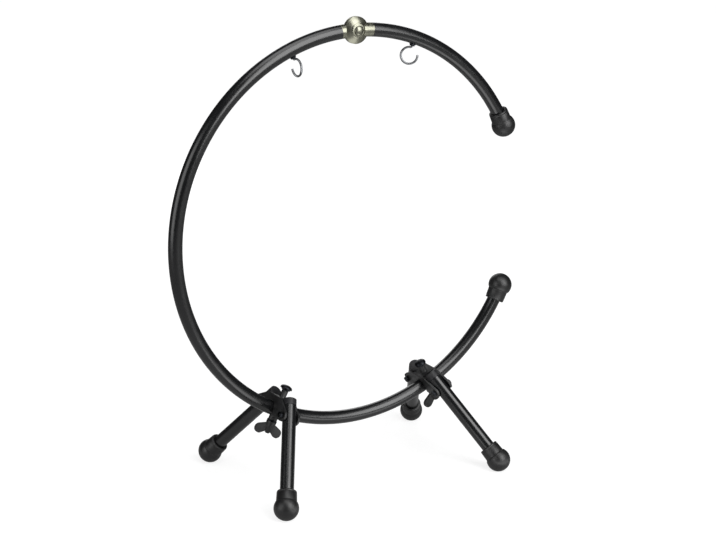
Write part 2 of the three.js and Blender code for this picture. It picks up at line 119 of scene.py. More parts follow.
# %% [markdown]
# ## The bench
# A few moves come back for every piece: pick it alone, put it in its place, copy it, cut it.
# Operators act on all that is selected, and a fresh primitive is selected all over, so each move
# starts by deselecting. transform_apply writes the place into the mesh, and leaves the object
# itself at the origin.


# %% The bench
def take(piece):
    """Make this the only selected piece, and the active one."""
    bpy.ops.object.select_all(action="DESELECT")
    piece.select_set(True)
    bpy.context.view_layer.objects.active = piece
    return piece


def place(piece, where):
    """Move a piece and write the move into its mesh."""
    take(piece)
    piece.matrix_world = where @ piece.matrix_world
    bpy.ops.object.transform_apply(location=True, rotation=True, scale=True)
    return piece


def another(piece):
    """A copy with a mesh of its own."""
    take(piece)
    bpy.ops.object.duplicate(linked=False)
    return bpy.context.object


def apply_modifier(piece, kind, **settings):
    """Add a modifier, set it and apply it."""
    take(piece)
    bpy.ops.object.modifier_add(type=kind)
    modifier = piece.modifiers[-1]
    for key, value in settings.items():
        setattr(modifier, key, value)
    bpy.ops.object.modifier_apply(modifier=modifier.name)
    return piece


def combine(piece, tool, operation):
    """Join a tool to a piece, or cut it out of it, and put the tool away."""
    apply_modifier(piece, "BOOLEAN", operation=operation, object=tool, solver="EXACT")
    bpy.data.objects.remove(tool)
    return piece


def soften(piece, width, segments=2, angle=30):
    """Round the edges that are sharper than an angle, as tumbling or casting does."""
    return apply_modifier(
        piece,
        "BEVEL",
        width=width * MM,
        segments=segments,
        limit_method="ANGLE",
        angle_limit=math.radians(angle),
        use_clamp_overlap=True,
        harden_normals=False,
    )


def smooth(piece, angle=35):
    """Shade smooth, but keep edges that are sharper than an angle."""
    take(piece)
    bpy.ops.object.shade_smooth_by_angle(angle=math.radians(angle))
    return piece


# %% [markdown]
# ## Turned pieces
# Bolts, washers, plugs and rubber ends are all round about one axis. A lathe would do, and here a
# circle is raised ring by ring: each step extrudes the last ring along Z and scales it to its new
# radius. Points on the axis start as a very small ring and are merged at the end, so that the pole
# is closed.

# %% Turned pieces
POLE = 0.01
MERGE = 0.03
EDGE = 0.25
DOME_STEPS = 8


def close_up():
    """In edit mode: merge what coincides and turn all faces outwards."""
    bpy.ops.mesh.select_all(action="SELECT")
    bpy.ops.mesh.remove_doubles(threshold=MERGE * MM)
    bpy.ops.mesh.normals_make_consistent(inside=False)


def turned(rings, sides=48):
    """Raise a circle through rings of (radius, height) in millimetres."""
    radius, height = max(rings[0][0], POLE), rings[0][1]
    bpy.ops.object.select_all(action="DESELECT")
    bpy.ops.mesh.primitive_circle_add(vertices=sides, radius=radius * MM)
    piece = bpy.context.object
    bpy.ops.object.mode_set(mode="EDIT")
    bpy.ops.mesh.select_all(action="SELECT")
    bpy.ops.transform.translate(value=(0, 0, height * MM))
    for next_radius, next_height in rings[1:]:
        rise = (0, 0, (next_height - height) * MM)
        bpy.ops.mesh.extrude_edges_move(TRANSFORM_OT_translate={"value": rise})
        ratio = max(next_radius, POLE) / radius
        middle = (0, 0, next_height * MM)
        bpy.ops.transform.resize(value=(ratio, ratio, 1), center_override=middle)
        radius, height = max(next_radius, POLE), next_height
    close_up()
    bpy.ops.object.mode_set(mode="OBJECT")
    return piece


def arc(radius, centre, start, end, steps):
    """Points of (radius, height) along an arc about a point on the axis, angles in degrees."""
    points = []
    for i in range(steps + 1):
        angle = math.radians(start + (end - start) * i / steps)
        points.append((radius * math.cos(angle), centre + radius * math.sin(angle)))
    return points


def domed(radius, height, rim):
    """The rings of a domed head that stands on zero, from its edge to its crown."""
    rings = [(radius - EDGE, 0), (radius, EDGE)]
    for i in range(DOME_STEPS + 1):
        angle = math.radians(90 * i / DOME_STEPS)
        rings.append((radius * math.cos(angle), rim + (height - rim) * math.sin(angle)))
    return rings


# %% [markdown]
# ## Bent pieces
# The ring's tubes and the hooks' wire are round stock that follows an arc. A circle is put at the
# start of the arc and spun about the arc's centre, as a bending machine draws the tube round its
# former.


# %% Bent pieces
def bent(radius, bend, start, end, sides, steps):
    """Round stock bent about Y, between two angles clockwise from the top."""
    bpy.ops.object.select_all(action="DESELECT")
    bpy.ops.mesh.primitive_circle_add(
        vertices=sides, radius=radius * MM, rotation=(0, math.pi / 2, 0)
    )
    piece = place(bpy.context.object, turn(start, "Y") @ shift(z=bend))
    bpy.ops.object.mode_set(mode="EDIT")
    bpy.ops.mesh.select_all(action="SELECT")
    angle = math.radians(end - start)
    bpy.ops.mesh.spin(steps=steps, angle=-angle, center=(0, 0, 0), axis=(0, 1, 0))
    bpy.ops.mesh.select_all(action="SELECT")
    bpy.ops.mesh.normals_make_consistent(inside=False)
    bpy.ops.object.mode_set(mode="OBJECT")
    return piece


def capped(piece):
    """Close the open ends of a bent piece, so that it is a solid bar."""
    take(piece)
    bpy.ops.object.mode_set(mode="EDIT")
    bpy.ops.mesh.select_all(action="SELECT")
    bpy.ops.mesh.fill_holes(sides=0)
    bpy.ops.mesh.normals_make_consistent(inside=False)
    bpy.ops.object.mode_set(mode="OBJECT")
    return piece


def ring_bar(radius, start, end, steps, sides=TUBE_SIDES):
    """A solid bar along the ring, in the frame of the station that its angles start from."""
    return place(capped(bent(radius, RING, start, end, sides, steps)), shift(z=-RING))


def ring_degrees(length):
    """The angle on the ring that a length along its centreline takes."""
    return math.degrees(length / RING)


# %% [markdown]
# ## Colours and nodes
# A colour on a screen is sRGB and a shader wants it linear, so each colour is written as a hex
# value, as in a paint chart, and one function turns it to linear. A second small function adds a
# node with its settings and its links.


# %% Colours and nodes
def linear(hex_colour):
    """An sRGB hex colour as linear red, green, blue and alpha."""
    parts = [int(hex_colour[i : i + 2], 16) / 255 for i in (1, 3, 5)]
    return [c / 12.92 if c <= 0.04045 else ((c + 0.055) / 1.055) ** 2.4 for c in parts] + [1]


def add_node(material, kind, sockets=None, **settings):
    """Add one node. A socket's value is a number, a colour or the output that feeds it."""
    node = material.node_tree.nodes.new(kind)
    for key, value in settings.items():
        setattr(node, key, value)
    for name, value in (sockets or {}).items():
        if isinstance(value, bpy.types.NodeSocket):
            material.node_tree.links.new(value, node.inputs[name])
        else:
            node.inputs[name].default_value = value
    return node


def between(value, start, end, low, high):
    """The sockets of a map range that goes from low at the start to high at the end."""
    return {"Value": value, "From Min": start, "From Max": end, "To Min": low, "To Max": high}


def per_mm(size):
    """A texture's scale for a pattern of this size in millimetres, on coordinates in metres."""
    return 1 / (size * MM)


# %% [markdown]
# ## One maker for the finishes
# All the finishes here have the same build: a base colour that varies in patches, a roughness that
# varies with it, and a fine grain that is raised as bump. What differs from one to the other is
# what each real coating is, so the colours and the sizes in millimetres are passed in, and the
# notes say where they come from. Most of the noise's values lie between NOISE_LOW and NOISE_HIGH.

# %% The maker of finishes
NOISE_LOW = 0.35
NOISE_HIGH = 0.65


def finish(name, dark, light, rough, metallic, patch_mm, grain_mm, grain_depth, specular=0.5):
    """A material with two colours in patches, varied roughness, and a fine grain raised as bump."""
    material = bpy.data.materials.new(name)
    material.use_nodes = True
    surface = material.node_tree.nodes["Principled BSDF"]
    surface.inputs["Metallic"].default_value = metallic
    surface.inputs["Specular IOR Level"].default_value = specular
    on_piece = add_node(material, "ShaderNodeTexCoord").outputs["Object"]
    patches = add_node(
        material,
        "ShaderNodeTexNoise",
        {"Vector": on_piece, "Scale": per_mm(patch_mm), "Detail": 3, "Roughness": 0.55},
    ).outputs["Fac"]
    colours = add_node(material, "ShaderNodeValToRGB", {"Fac": patches})
    colours.color_ramp.elements[0].position = NOISE_LOW
    colours.color_ramp.elements[0].color = linear(dark)
    colours.color_ramp.elements[1].position = NOISE_HIGH
    colours.color_ramp.elements[1].color = linear(light)
    varied = between(patches, NOISE_LOW, NOISE_HIGH, *rough)
    roughness = add_node(material, "ShaderNodeMapRange", varied)
    grain = add_node(
        material,
        "ShaderNodeTexNoise",
        {"Vector": on_piece, "Scale": per_mm(grain_mm), "Detail": 2, "Roughness": 0.5},
    ).outputs["Fac"]
    bump = add_node(
        material,
        "ShaderNodeBump",
        {"Height": grain, "Distance": grain_depth * MM, "Strength": 1.0},
    )
    link = material.node_tree.links.new
    link(colours.outputs["Color"], surface.inputs["Base Color"])
    link(roughness.outputs["Result"], surface.inputs["Roughness"])
    link(bump.outputs["Normal"], surface.inputs["Normal"])
    return material


# %% [markdown]
# ## The black finishes
# The tubes are steel with a black powder coat. The powder is sprayed on dry and melted in an oven,
# and as it flows it keeps a faint orange peel, with waves about 2 mm apart and a few hundredths of
# a millimetre deep. It is a satin gloss: a highlight on it is wide but has a soft edge. The
# brackets, saddles and wing nuts are castings under the same paint, rougher, with the sand's grain
# still showing through. Bolts and washers are steel that was blackened in a hot bath, a thin dark
# oxide with the metal's sheen.

# %% The black finishes
powder_coat = finish(
    "powder_coated_steel", "#090a0c", "#0c0d0f", (0.22, 0.28), metallic=0,
    patch_mm=40, grain_mm=2, grain_depth=0.02, specular=0.8,
)
painted_casting = finish(
    "painted_casting", "#111112", "#1b1c1d", (0.42, 0.56), metallic=0,
    patch_mm=9, grain_mm=0.7, grain_depth=0.07, specular=0.7,
)
black_oxide = finish(
    "black_oxide_steel", "#232427", "#37393d", (0.34, 0.46), metallic=1,
    patch_mm=5, grain_mm=0.5, grain_depth=0.01,
)
print("black finishes:", powder_coat.name, painted_casting.name, black_oxide.name)

# %% [markdown]
# ## Rubber, nylon and bright metal
# The ends and feet are moulded black rubber with a soft sheen, a little grey where it has bloomed,
# and the mould's fine spark texture, about 0.6 mm across. Plugs and the friction washer are nylon.
# The knuckle is die-cast zinc alloy under a dull nickel plate, a warmer and slightly greener grey
# than chrome, with a ripple of about 1 mm left by the polishing wheel. The hooks are drawn wire
# with a dull zinc plate, a cooler grey.

# %% Rubber, nylon and bright metal
moulded_rubber = finish(
    "moulded_rubber", "#0b0b0c", "#131314", (0.38, 0.48), metallic=0,
    patch_mm=14, grain_mm=0.6, grain_depth=0.04, specular=0.7,
)
nylon = finish(
    "moulded_nylon", "#17171a", "#202022", (0.48, 0.58), metallic=0,
    patch_mm=8, grain_mm=0.8, grain_depth=0.02,
)
nickel_plate = finish(
    "dull_nickel_plate", "#8c8c7e", "#9e9e8e", (0.28, 0.36), metallic=1,
    patch_mm=6, grain_mm=1.1, grain_depth=0.02,
)
zinc_plate = finish(
    "dull_zinc_plate", "#8e9093", "#a4a6a9", (0.30, 0.44), metallic=1,
    patch_mm=4, grain_mm=0.5, grain_depth=0.01,
)

FINISHES = {
    "black_paint": powder_coat,
    "black_casting": painted_casting,
    "black_steel": black_oxide,
    "black_rubber": moulded_rubber,
    "black_plastic": nylon,
    "nickel": nickel_plate,
    "zinc": zinc_plate,
}
print("finishes for", ", ".join(sorted(FINISHES)))

# %% [markdown]
# ## Handing a piece over
# Each finished piece takes the finish of its slot, rides on the body of the solid that it stands
# for, and hides that solid. Its name is the solid's name with the finish in front, so that the two
# are easy to match.

# %% Handing a piece over
NAMES = {
    "black_paint": "coated",
    "black_casting": "cast",
    "black_steel": "blackened",
    "black_rubber": "rubber",
    "black_plastic": "nylon",
    "nickel": "nickel",
    "zinc": "zinc",
}
handed = []


def hand_over(piece, node):
    """Name a piece, finish it, and let it stand for a CAD node."""
    slot = slot_of[node]
    piece.name = NAMES[slot] + "_" + node
    piece.data.name = piece.name
    piece.data.materials.clear()
    piece.data.materials.append(FINISHES[slot])
    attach(piece, body_of[node])
    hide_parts(node)
    handed.append(node)
    return piece


# %% [markdown]
# ## The camera and the picture's frame
# The picture was taken from the front and a little to the left, at about 16 degrees above the
# stand's middle, with a longish lens: the ring is nearly a circle squeezed to 86 percent. The
# camera also leans by less than one degree, which the top of the ring and the feet show. The places
# of the camera and of the lamps are in metres.

# %% The camera
AIM = Vector((0.0138, 0, 0.3407))
AZIMUTH = math.radians(-31.09)
ELEVATION = math.radians(15.61)
DISTANCE = 2.574
LEAN = 0.0134
PICTURE_WIDTH = 716
FOCAL_PIXELS = 1581
SENSOR = 36

level = math.cos(ELEVATION)
away = Vector((math.sin(AZIMUTH) * level, -math.cos(AZIMUTH) * level, math.sin(ELEVATION)))
bpy.ops.object.camera_add(location=AIM + away * DISTANCE)
camera = bpy.context.object
camera.data.sensor_width = SENSOR
camera.data.lens = FOCAL_PIXELS / PICTURE_WIDTH * SENSOR
camera.rotation_mode = "QUATERNION"
look = (-away).to_track_quat("-Z", "Y")
camera.rotation_quaternion = look @ Matrix.Rotation(LEAN, 4, "Z").to_quaternion()
bpy.context.scene.camera = camera
print("lens", round(camera.data.lens, 1), "mm at", [round(value, 3) for value in camera.location])

# %% [markdown]
# ## The long ring tube and the arm's tube
# The ring is one length of tube with a 1.5 mm wall, bent to a circle, with its lower end in a
# rubber ball and its upper end in the knuckle. The short arm goes on from there. Both are bent from
# a circle of 64 sides, with a step every degree, and Solidify gives the wall. The bolts and the
# hooks' inserts go through drilled holes, which are cut with plain cylinders.

# %% Ring tubes
BULB_END = 19.5
BORE_FLOOR = 2
COLLAR_REACH = 28.5
SCREW_INSET = 12
tip_end = ring_degrees(BULB_END + BORE_FLOOR + FIT)
tube_start = ring_degrees(COLLAR_REACH + FIT)
screw_angle = ring_degrees(COLLAR_REACH + SCREW_INSET)


def drill(piece, radius, where, length=2 * THROUGH, sides=32):
    """Cut a round hole along the Z axis of a place, from it outwards by a length."""
    bpy.ops.object.select_all(action="DESELECT")
    bpy.ops.mesh.primitive_cylinder_add(vertices=sides, radius=radius * MM, depth=length * MM)
    tool = place(bpy.context.object, where @ shift(z=length / 2))
    return combine(piece, tool, "DIFFERENCE")


def ring_tube(start, end):
    """A length of the ring's tube between two angles, in its place."""
    tube = bent(TUBE, RING, start, end, TUBE_SIDES, round(end - start))
    apply_modifier(tube, "SOLIDIFY", thickness=WALL * MM, offset=-1)
    return place(tube, Matrix.Translation(ring_centre))


ring = ring_tube(LOWER_TIP_ANGLE + tip_end, 360 + KNUCKLE_ANGLE - tube_start)
for angle in BRACKET_ANGLES.values():
    drill(ring, CLAMP_SHANK + FIT, station(angle) @ shift(z=-THROUGH))
drill(ring, BARREL + FIT, station(HOOK_ANGLES["left"]) @ shift(z=-THROUGH), length=THROUGH)
where = station(KNUCKLE_ANGLE - screw_angle) @ turn(-90, "X")
drill(ring, SCREW_SHANK + FIT, where, length=THROUGH)
hand_over(smooth(ring), "long_ring_tube")

arm = ring_tube(KNUCKLE_ANGLE + tube_start, ARM_TIP_ANGLE - tip_end)
drill(arm, BARREL + FIT, station(HOOK_ANGLES["right"]) @ shift(z=-THROUGH), length=THROUGH)
where = station(KNUCKLE_ANGLE + screw_angle) @ turn(-90, "X")
drill(arm, SCREW_SHANK + FIT, where, length=THROUGH)
hand_over(smooth(arm), "arm_tube")
print("ring tube", len(ring.data.vertices), "points, arm", len(arm.data.vertices))

# %% [markdown]
# ## Rubber ends
# Each end is one moulding: a ball with a sleeve that is pushed over the tube. The outside is raised
# as rings, from the ball's flat underside over its equator to the sleeve and its rounded lip, and
# then back down the bore. The lip has a small bead, and the ball meets the sleeve in a soft neck.

# %% Rubber ends
BULB = 40 / 2
SLEEVE = 33 / 2
SLEEVE_RIM = 32 / 2
SLEEVE_TOP = 28
LIP = 1.5


def rubber_end():
    """A rubber end with its ball's centre at zero and the tube coming from +Z."""
    high = math.degrees(math.acos((SLEEVE + 1.4) / BULB))
    rings = [(radius, height * BULB_END / BULB) for radius, height in arc(BULB, 0, -90, 0, 18)]
    rings += arc(BULB, 0, 0, high, 12)[1:]
    neck = rings[-1][1]
    rings += [(SLEEVE + 0.6, neck + 0.7), (SLEEVE + 0.15, neck + 1.3), (SLEEVE, neck + 2.2)]
    rings += [(SLEEVE_RIM + 0.1, SLEEVE_TOP - 4.2), (SLEEVE_RIM - 0.35, SLEEVE_TOP - 3.6)]
    rings += [(SLEEVE_RIM, SLEEVE_TOP - 3)]
    slope = LIP * 0.4
    rings += [(SLEEVE_RIM - 0.1, SLEEVE_TOP - LIP), (SLEEVE_RIM - slope, SLEEVE_TOP - slope)]
    bore = TUBE + FIT
    rings += [(SLEEVE_RIM - LIP, SLEEVE_TOP), (bore + 0.3, SLEEVE_TOP), (bore, SLEEVE_TOP - 0.3)]
    rings += [(bore, BORE_FLOOR), (0, BORE_FLOOR)]
    return turned(rings, sides=TUBE_SIDES)


def curved_bore(piece, direction):
    """Recut the bore along the ring's curve, for an end that sits on the ring."""
    start = ring_degrees(BORE_FLOOR)
    end = ring_degrees(SLEEVE_TOP + CLEAR)
    low, high = sorted((-start * direction, -end * direction))
    return combine(piece, ring_bar(TUBE + CURVED_FIT, low, high, steps=12), "DIFFERENCE")


def ring_end(tip_angle, direction, node):
    """A rubber end on one of the ring's free ends."""
    middle = ring_degrees(BULB_END) * direction
    piece = place(rubber_end(), turn(-direction * 90, "Y"))
    curved_bore(piece, direction)
    place(piece, station(tip_angle - middle))
    return hand_over(smooth(piece, 40), node)


ring_end(ARM_TIP_ANGLE, 1, "arm_rubber_end")
ring_end(LOWER_TIP_ANGLE, -1, "lower_rubber_end")
print("two rubber ends of", 2 * BULB, "mm")

# %% [markdown]
# ## The legs
# A leg is a straight length of the same tube. A cross bolt near its top end carries it in the
# bracket, a nylon plug closes the top end and bears on the bracket when the leg is out, and the
# foot is the same rubber ball as on the ring, pressed flat where it stands. One leg is modelled
# upright and copied to its four places.

# %% Legs
PLUG_CAP = 12
PLUG_STEM = 10
BOSS_HALF = 13.4
ON_PLANE = 0.001
leg_top = (PIVOT_OUT - TUBE * math.cos(SPLAY) - BOSS_HALF - FIT) / math.sin(SPLAY)
leg_end = LEG_REACH - BORE_FLOOR - FIT


def leg_tube():
    """A leg's tube along Z, with its pivot at zero and its foot above."""
    top = PLUG_CAP - leg_top
    bore = TUBE - WALL
    rings = [(bore, top), (TUBE - 0.3, top), (TUBE, top + 0.3)]
    rings += [(TUBE, leg_end), (bore, leg_end), (bore, top)]
    tube = turned(rings, sides=TUBE_SIDES)
    return drill(tube, PIVOT_SHANK + FIT, turn(90, "Y") @ shift(z=-THROUGH))


def leg_plug():
    """The plug in a leg's top end."""
    stem = TUBE - WALL - FIT
    seat = PLUG_CAP - leg_top - FIT
    rings = [(0, -leg_top), (TUBE - 1.6, -leg_top), (TUBE - 0.7, 0.25 - leg_top)]
    rings += [(TUBE, 1 - leg_top), (TUBE, seat), (stem, seat), (stem, seat + PLUG_STEM - 0.5)]
    rings += [(stem - 0.5, seat + PLUG_STEM), (0, seat + PLUG_STEM)]
    return turned(rings)


def foot():
    """A foot in the leg's own frame, its sleeve towards the pivot."""
    return place(rubber_end(), shift(z=LEG_REACH) @ turn(180, "X"))


def press_flat(piece):
    """Cut off what would be below the floor, and close the flat."""
    take(piece)
    bpy.ops.object.mode_set(mode="EDIT")
    bpy.ops.mesh.select_all(action="SELECT")
    bpy.ops.mesh.bisect(
        plane_co=(0, 0, 0),
        plane_no=(0, 0, 1),
        use_fill=True,
        clear_inner=True,
        threshold=ON_PLANE * MM,
    )
    bpy.ops.object.mode_set(mode="OBJECT")
    return piece


first = {"leg_tube": leg_tube(), "leg_plug": leg_plug(), "foot": foot()}
for side, angle in BRACKET_ANGLES.items():
    for end, across in (("front", -1), ("rear", 1)):
        pivot = station(angle) @ shift(y=across * PIVOT_OUT)
        where = pivot @ turn(-across * math.degrees(SPLAY), "X")
        for part, model in first.items():
            piece = place(another(model), where)
            if part == "foot":
                press_flat(piece)
            hand_over(smooth(piece, 40), side + "_" + end + "_" + part)
for model in first.values():
    bpy.data.objects.remove(model)
print("legs", round(leg_end + leg_top), "mm long")

# %% [markdown]
# ## The leg brackets
# A bracket is a casting in the shape of a short channel. Its two cheeks carry the legs' cross bolts
# at their ears and straddle the ring's tube, a web joins them above the tube, and a round neck on
# top takes the head of the clamp bolt. The cheeks are the hull of two round ears and a top bar,
# which is how a pattern maker would block one out; the tube's seat and the holes are cut
# afterwards, and the edges are rounded as a mould leaves them.

# %% Bracket pieces
PLATE = 3.5
CHANNEL = TUBE + 0.5
TOP = 22
SHOULDER = 23
EAR = 19 / 2
NECK = 11 / 2
NECK_TOP = 34.5


def disc(radius, depth, where, sides=48):
    """A plain disc along the Z axis of a place, centred on it."""
    bpy.ops.object.select_all(action="DESELECT")
    bpy.ops.mesh.primitive_cylinder_add(vertices=sides, radius=radius * MM, depth=depth * MM)
    return place(bpy.context.object, where)


def slab(x, y, z):
    """A plain block between low and high values along each axis."""
    bpy.ops.object.select_all(action="DESELECT")
    bpy.ops.mesh.primitive_cube_add(size=1)
    middle = [(pair[0] + pair[1]) / 2 for pair in (x, y, z)]
    size = [(pair[1] - pair[0]) * MM for pair in (x, y, z)]
    return place(bpy.context.object, shift(*middle) @ Matrix.Diagonal((*size, 1)))


def hull(*pieces):
    """The tightest skin round some pieces, which are used up."""
    bpy.ops.object.select_all(action="DESELECT")
    for piece in pieces:
        piece.select_set(True)
    bpy.context.view_layer.objects.active = pieces[0]
    bpy.ops.object.join()
    piece = bpy.context.object
    bpy.ops.object.mode_set(mode="EDIT")
    bpy.ops.mesh.select_all(action="SELECT")
    bpy.ops.mesh.convex_hull()
    bpy.ops.mesh.select_all(action="SELECT")
    bpy.ops.mesh.normals_make_consistent(inside=False)
    bpy.ops.mesh.dissolve_limited(angle_limit=math.radians(1))
    bpy.ops.object.mode_set(mode="OBJECT")
    return piece


def cheek(x_low, x_high):
    """One cheek of a bracket, between two places along the tube."""
    depth = x_high - x_low
    middle = (x_low + x_high) / 2
    ears = [disc(EAR, depth, shift(middle, s * PIVOT_OUT, 0) @ turn(90, "Y")) for s in (-1, 1)]
    corner = 3
    corners = []
    for s in (-1, 1):
        where = shift(middle, s * (SHOULDER - corner), -TOP + corner) @ turn(90, "Y")
        corners.append(disc(corner, depth, where, sides=24))
    return hull(*ears, *corners)


def web():
    """The web between the cheeks, wide at the tube and narrow at the top."""
    half = CHANNEL + PLATE / 2
    foot_half = PIVOT_OUT - TUBE * math.tan(SPLAY) - TUBE / math.cos(SPLAY) - 1
    waist = (PIVOT_OUT - TUBE / math.cos(SPLAY) - 1 - BOSS_HALF) / math.tan(SPLAY)
    wide = slab((-half, half), (-foot_half, foot_half), (-TUBE - 0.2, -TUBE))
    narrow = slab((-half, half), (-BOSS_HALF, BOSS_HALF), (-waist, -TUBE))
    upper = slab((-half, half), (-BOSS_HALF, BOSS_HALF), (-TOP, -TUBE))
    return combine(upper, hull(wide, narrow), "UNION")


# %% [markdown]
# The parts of the bracket are joined by Boolean union. The bevel comes after the cuts, so that the
# edges of the tube's seat are rounded too. The bore for the clamp bolt and the cross holes come
# last and stay crisp, because they are drilled after casting.


# %% Bracket casting
def bracket():
    """A whole leg bracket in its station's frame."""
    outer = CHANNEL + PLATE
    body = cheek(CHANNEL, outer)
    combine(body, cheek(-outer, -CHANNEL), "UNION")
    combine(body, web(), "UNION")
    rings = [(0, -NECK_TOP), (NECK, -NECK_TOP), (NECK, -TOP - 1.5), (NECK + 0.4, -TOP - 0.6)]
    rings += [(NECK + 1, -TOP + 0.2), (NECK + 1, -TOP + 3), (0, -TOP + 3)]
    combine(body, turned(rings), "UNION")
    reach = ring_degrees(outer + CLEAR)
    combine(body, ring_bar(TUBE + CURVED_FIT, -reach, reach, steps=8), "DIFFERENCE")
    width, depth = outer + CLEAR, TUBE + CURVED_FIT
    slot = slab((-width, width), (-depth, depth), (0, EAR + CLEAR))
    combine(body, slot, "DIFFERENCE")
    soften(body, 0.8, angle=40)
    drill(body, CLAMP_SHANK + FIT, shift(z=-NECK_TOP - CLEAR))
    for side in (-1, 1):
        hole = shift(-THROUGH - CLEAR, side * PIVOT_OUT, 0) @ turn(90, "Y")
        drill(body, PIVOT_SHANK + FIT, hole, length=2 * (THROUGH + CLEAR))
    return body


model = bracket()
for side, angle in BRACKET_ANGLES.items():
    hand_over(smooth(place(another(model), station(angle)), 35), side + "_leg_bracket")
bpy.data.objects.remove(model)
print("two brackets,", 2 * (PIVOT_OUT + EAR), "mm across")

# %% [markdown]
# ## Bolts, nuts and washers
# The clamp bolt goes from its domed head on the bracket's neck right through the ring's tube to the
# wing nut below. The legs turn on cross bolts with smaller domed heads and hexagon nuts. Threads
# are cut as a row of fine grooves where a bolt's tail shows.

# %% Bolts
WASHER = 1.6
SADDLE_BASE = 18
CLAMP_TAIL = 41
HEAD_FACE = CHANNEL + PLATE + FIT
CLAMP_HEAD = 20 / 2
CLAMP_HEAD_HEIGHT = 6.5
CLAMP_PLAIN = 20
CLAMP_PITCH = 1.25
HEAD_WASHER = 15 / 2
NUT_WASHER = 17 / 2
PIVOT_HEAD = 11 / 2
PIVOT_HEAD_HEIGHT = 4
PIVOT_TAIL = 5
PIVOT_LEAD = 3
PIVOT_PITCH = 1.0
PIVOT_FLATS = 10
PIVOT_NUT = 5
GROOVE = 0.55
CHAMFER = 0.14


def threaded(radius, start, end, pitch):
    """Rings of a shank with thread grooves, from a start to an end along -Z."""
    rings = []
    depth = pitch * GROOVE
    turns = int((end - start) / pitch)
    for i in range(turns):
        base = -(end - i * pitch)
        rings += [(radius - depth, base), (radius, base + pitch * 0.5)]
    rings.append((radius - depth, -(end - turns * pitch)))
    return rings


def bolt(shank, length, thread_from, pitch, head, head_height):
    """A domed bolt: its head stands on zero and its shank goes down."""
    tip = shank - pitch * 0.6
    rings = [(0, -length), (tip - 0.5, -length)]
    rings += threaded(shank, thread_from, length - 0.4, pitch)
    rings += [(shank, -thread_from + pitch), (shank, 0)]
    rings += domed(head, head_height, head_height * 0.25)
    return turned(rings)


def hex_nut(flats, height, bore):
    """A hexagon nut from zero to its height, with its corners turned down."""
    bpy.ops.object.select_all(action="DESELECT")
    corner = flats / math.sqrt(3)
    bpy.ops.mesh.primitive_cylinder_add(vertices=6, radius=corner * MM, depth=height * MM)
    nut = place(bpy.context.object, shift(z=height / 2) @ turn(30, "Z"))
    low, high = height * CHAMFER, height * (1 - CHAMFER)
    rings = [(0, -0.01), (flats / 2 - 0.1, -0.01), (corner + 0.1, low), (corner + 0.1, high)]
    cone = turned(rings + [(flats / 2 - 0.1, height + 0.01), (0, height + 0.01)])
    combine(nut, cone, "INTERSECT")
    soften(nut, 0.12, segments=1)
    return drill(nut, bore, shift(z=-1), length=height + 2)


def washer(inner, outer, thickness):
    """A flat washer from zero up, its edges a little rounded."""
    rings = [(inner, 0), (outer - EDGE, 0), (outer, EDGE), (outer, thickness - EDGE)]
    rings += [(outer - EDGE, thickness), (inner, thickness), (inner, 0)]
    return turned(rings)


head_seat = NECK_TOP + FIT + WASHER + FIT
for side, angle in BRACKET_ANGLES.items():
    here = station(angle)
    length, plain = head_seat + CLAMP_TAIL, head_seat + CLAMP_PLAIN
    clamp = bolt(CLAMP_SHANK, length, plain, CLAMP_PITCH, CLAMP_HEAD, CLAMP_HEAD_HEIGHT)
    place(clamp, here @ shift(z=-head_seat) @ turn(180, "X"))
    hand_over(smooth(clamp), side + "_clamp_bolt")
    upper = washer(CLAMP_SHANK + FIT, HEAD_WASHER, WASHER)
    place(upper, here @ shift(z=-NECK_TOP - FIT - WASHER))
    hand_over(smooth(upper), side + "_head_washer")
    lower = washer(CLAMP_SHANK + FIT, NUT_WASHER, WASHER)
    hand_over(smooth(place(lower, here @ shift(z=SADDLE_BASE + FIT))), side + "_nut_washer")
    for end, across in (("front", -1), ("rear", 1)):
        pivot = here @ shift(y=across * PIVOT_OUT)
        length, plain = 2 * HEAD_FACE + PIVOT_TAIL, 2 * HEAD_FACE - PIVOT_LEAD
        cross = bolt(PIVOT_SHANK, length, plain, PIVOT_PITCH, PIVOT_HEAD, PIVOT_HEAD_HEIGHT)
        place(cross, pivot @ shift(x=-HEAD_FACE) @ turn(-90, "Y"))
        node = side + "_" + end + "_pivot_"
        hand_over(smooth(cross), node + "bolt")
        nut = hex_nut(PIVOT_FLATS, PIVOT_NUT, PIVOT_SHANK + FIT)
        place(nut, pivot @ shift(x=HEAD_FACE) @ turn(90, "Y"))
        hand_over(smooth(nut, 25), node + "nut")
print("bolts and washers on both brackets")

# %% [markdown]
# ## Saddles and wing nuts
# Under the tube a small saddle carries the washer and the wing nut. It is turned as a BLANK that
# starts inside the tube, and then hollowed to the tube's curve, as the hooks' inserts are further
# down. The wing nut is a casting: a tapered hub with two rounded ears that stand up and out from
# it. Each ear is the hull of a disc at its tip and a narrow bar at the hub, and the whole is
# rounded generously, because fingers turn it.

# %% Saddles and wing nuts
SADDLE = 15 / 2
BLANK = TUBE * 0.7
HUB = 17 / 2
HUB_TOP = 13.5 / 2
HUB_HEIGHT = 18.5
WING_SPAN = 51
WING_HEIGHT = 24.5
WING = 4
WING_TIP = 8


def saddle():
    """The saddle between the tube and the lower washer."""
    bore = CLAMP_SHANK + FIT
    rings = [(bore, BLANK), (SADDLE, BLANK), (SADDLE, SADDLE_BASE - 0.5)]
    rings += [(SADDLE - 0.5, SADDLE_BASE), (bore, SADDLE_BASE), (bore, BLANK)]
    reach = ring_degrees(2 * SADDLE)
    tube = ring_bar(TUBE + CURVED_FIT, -reach, reach, steps=6)
    return combine(turned(rings), tube, "DIFFERENCE")


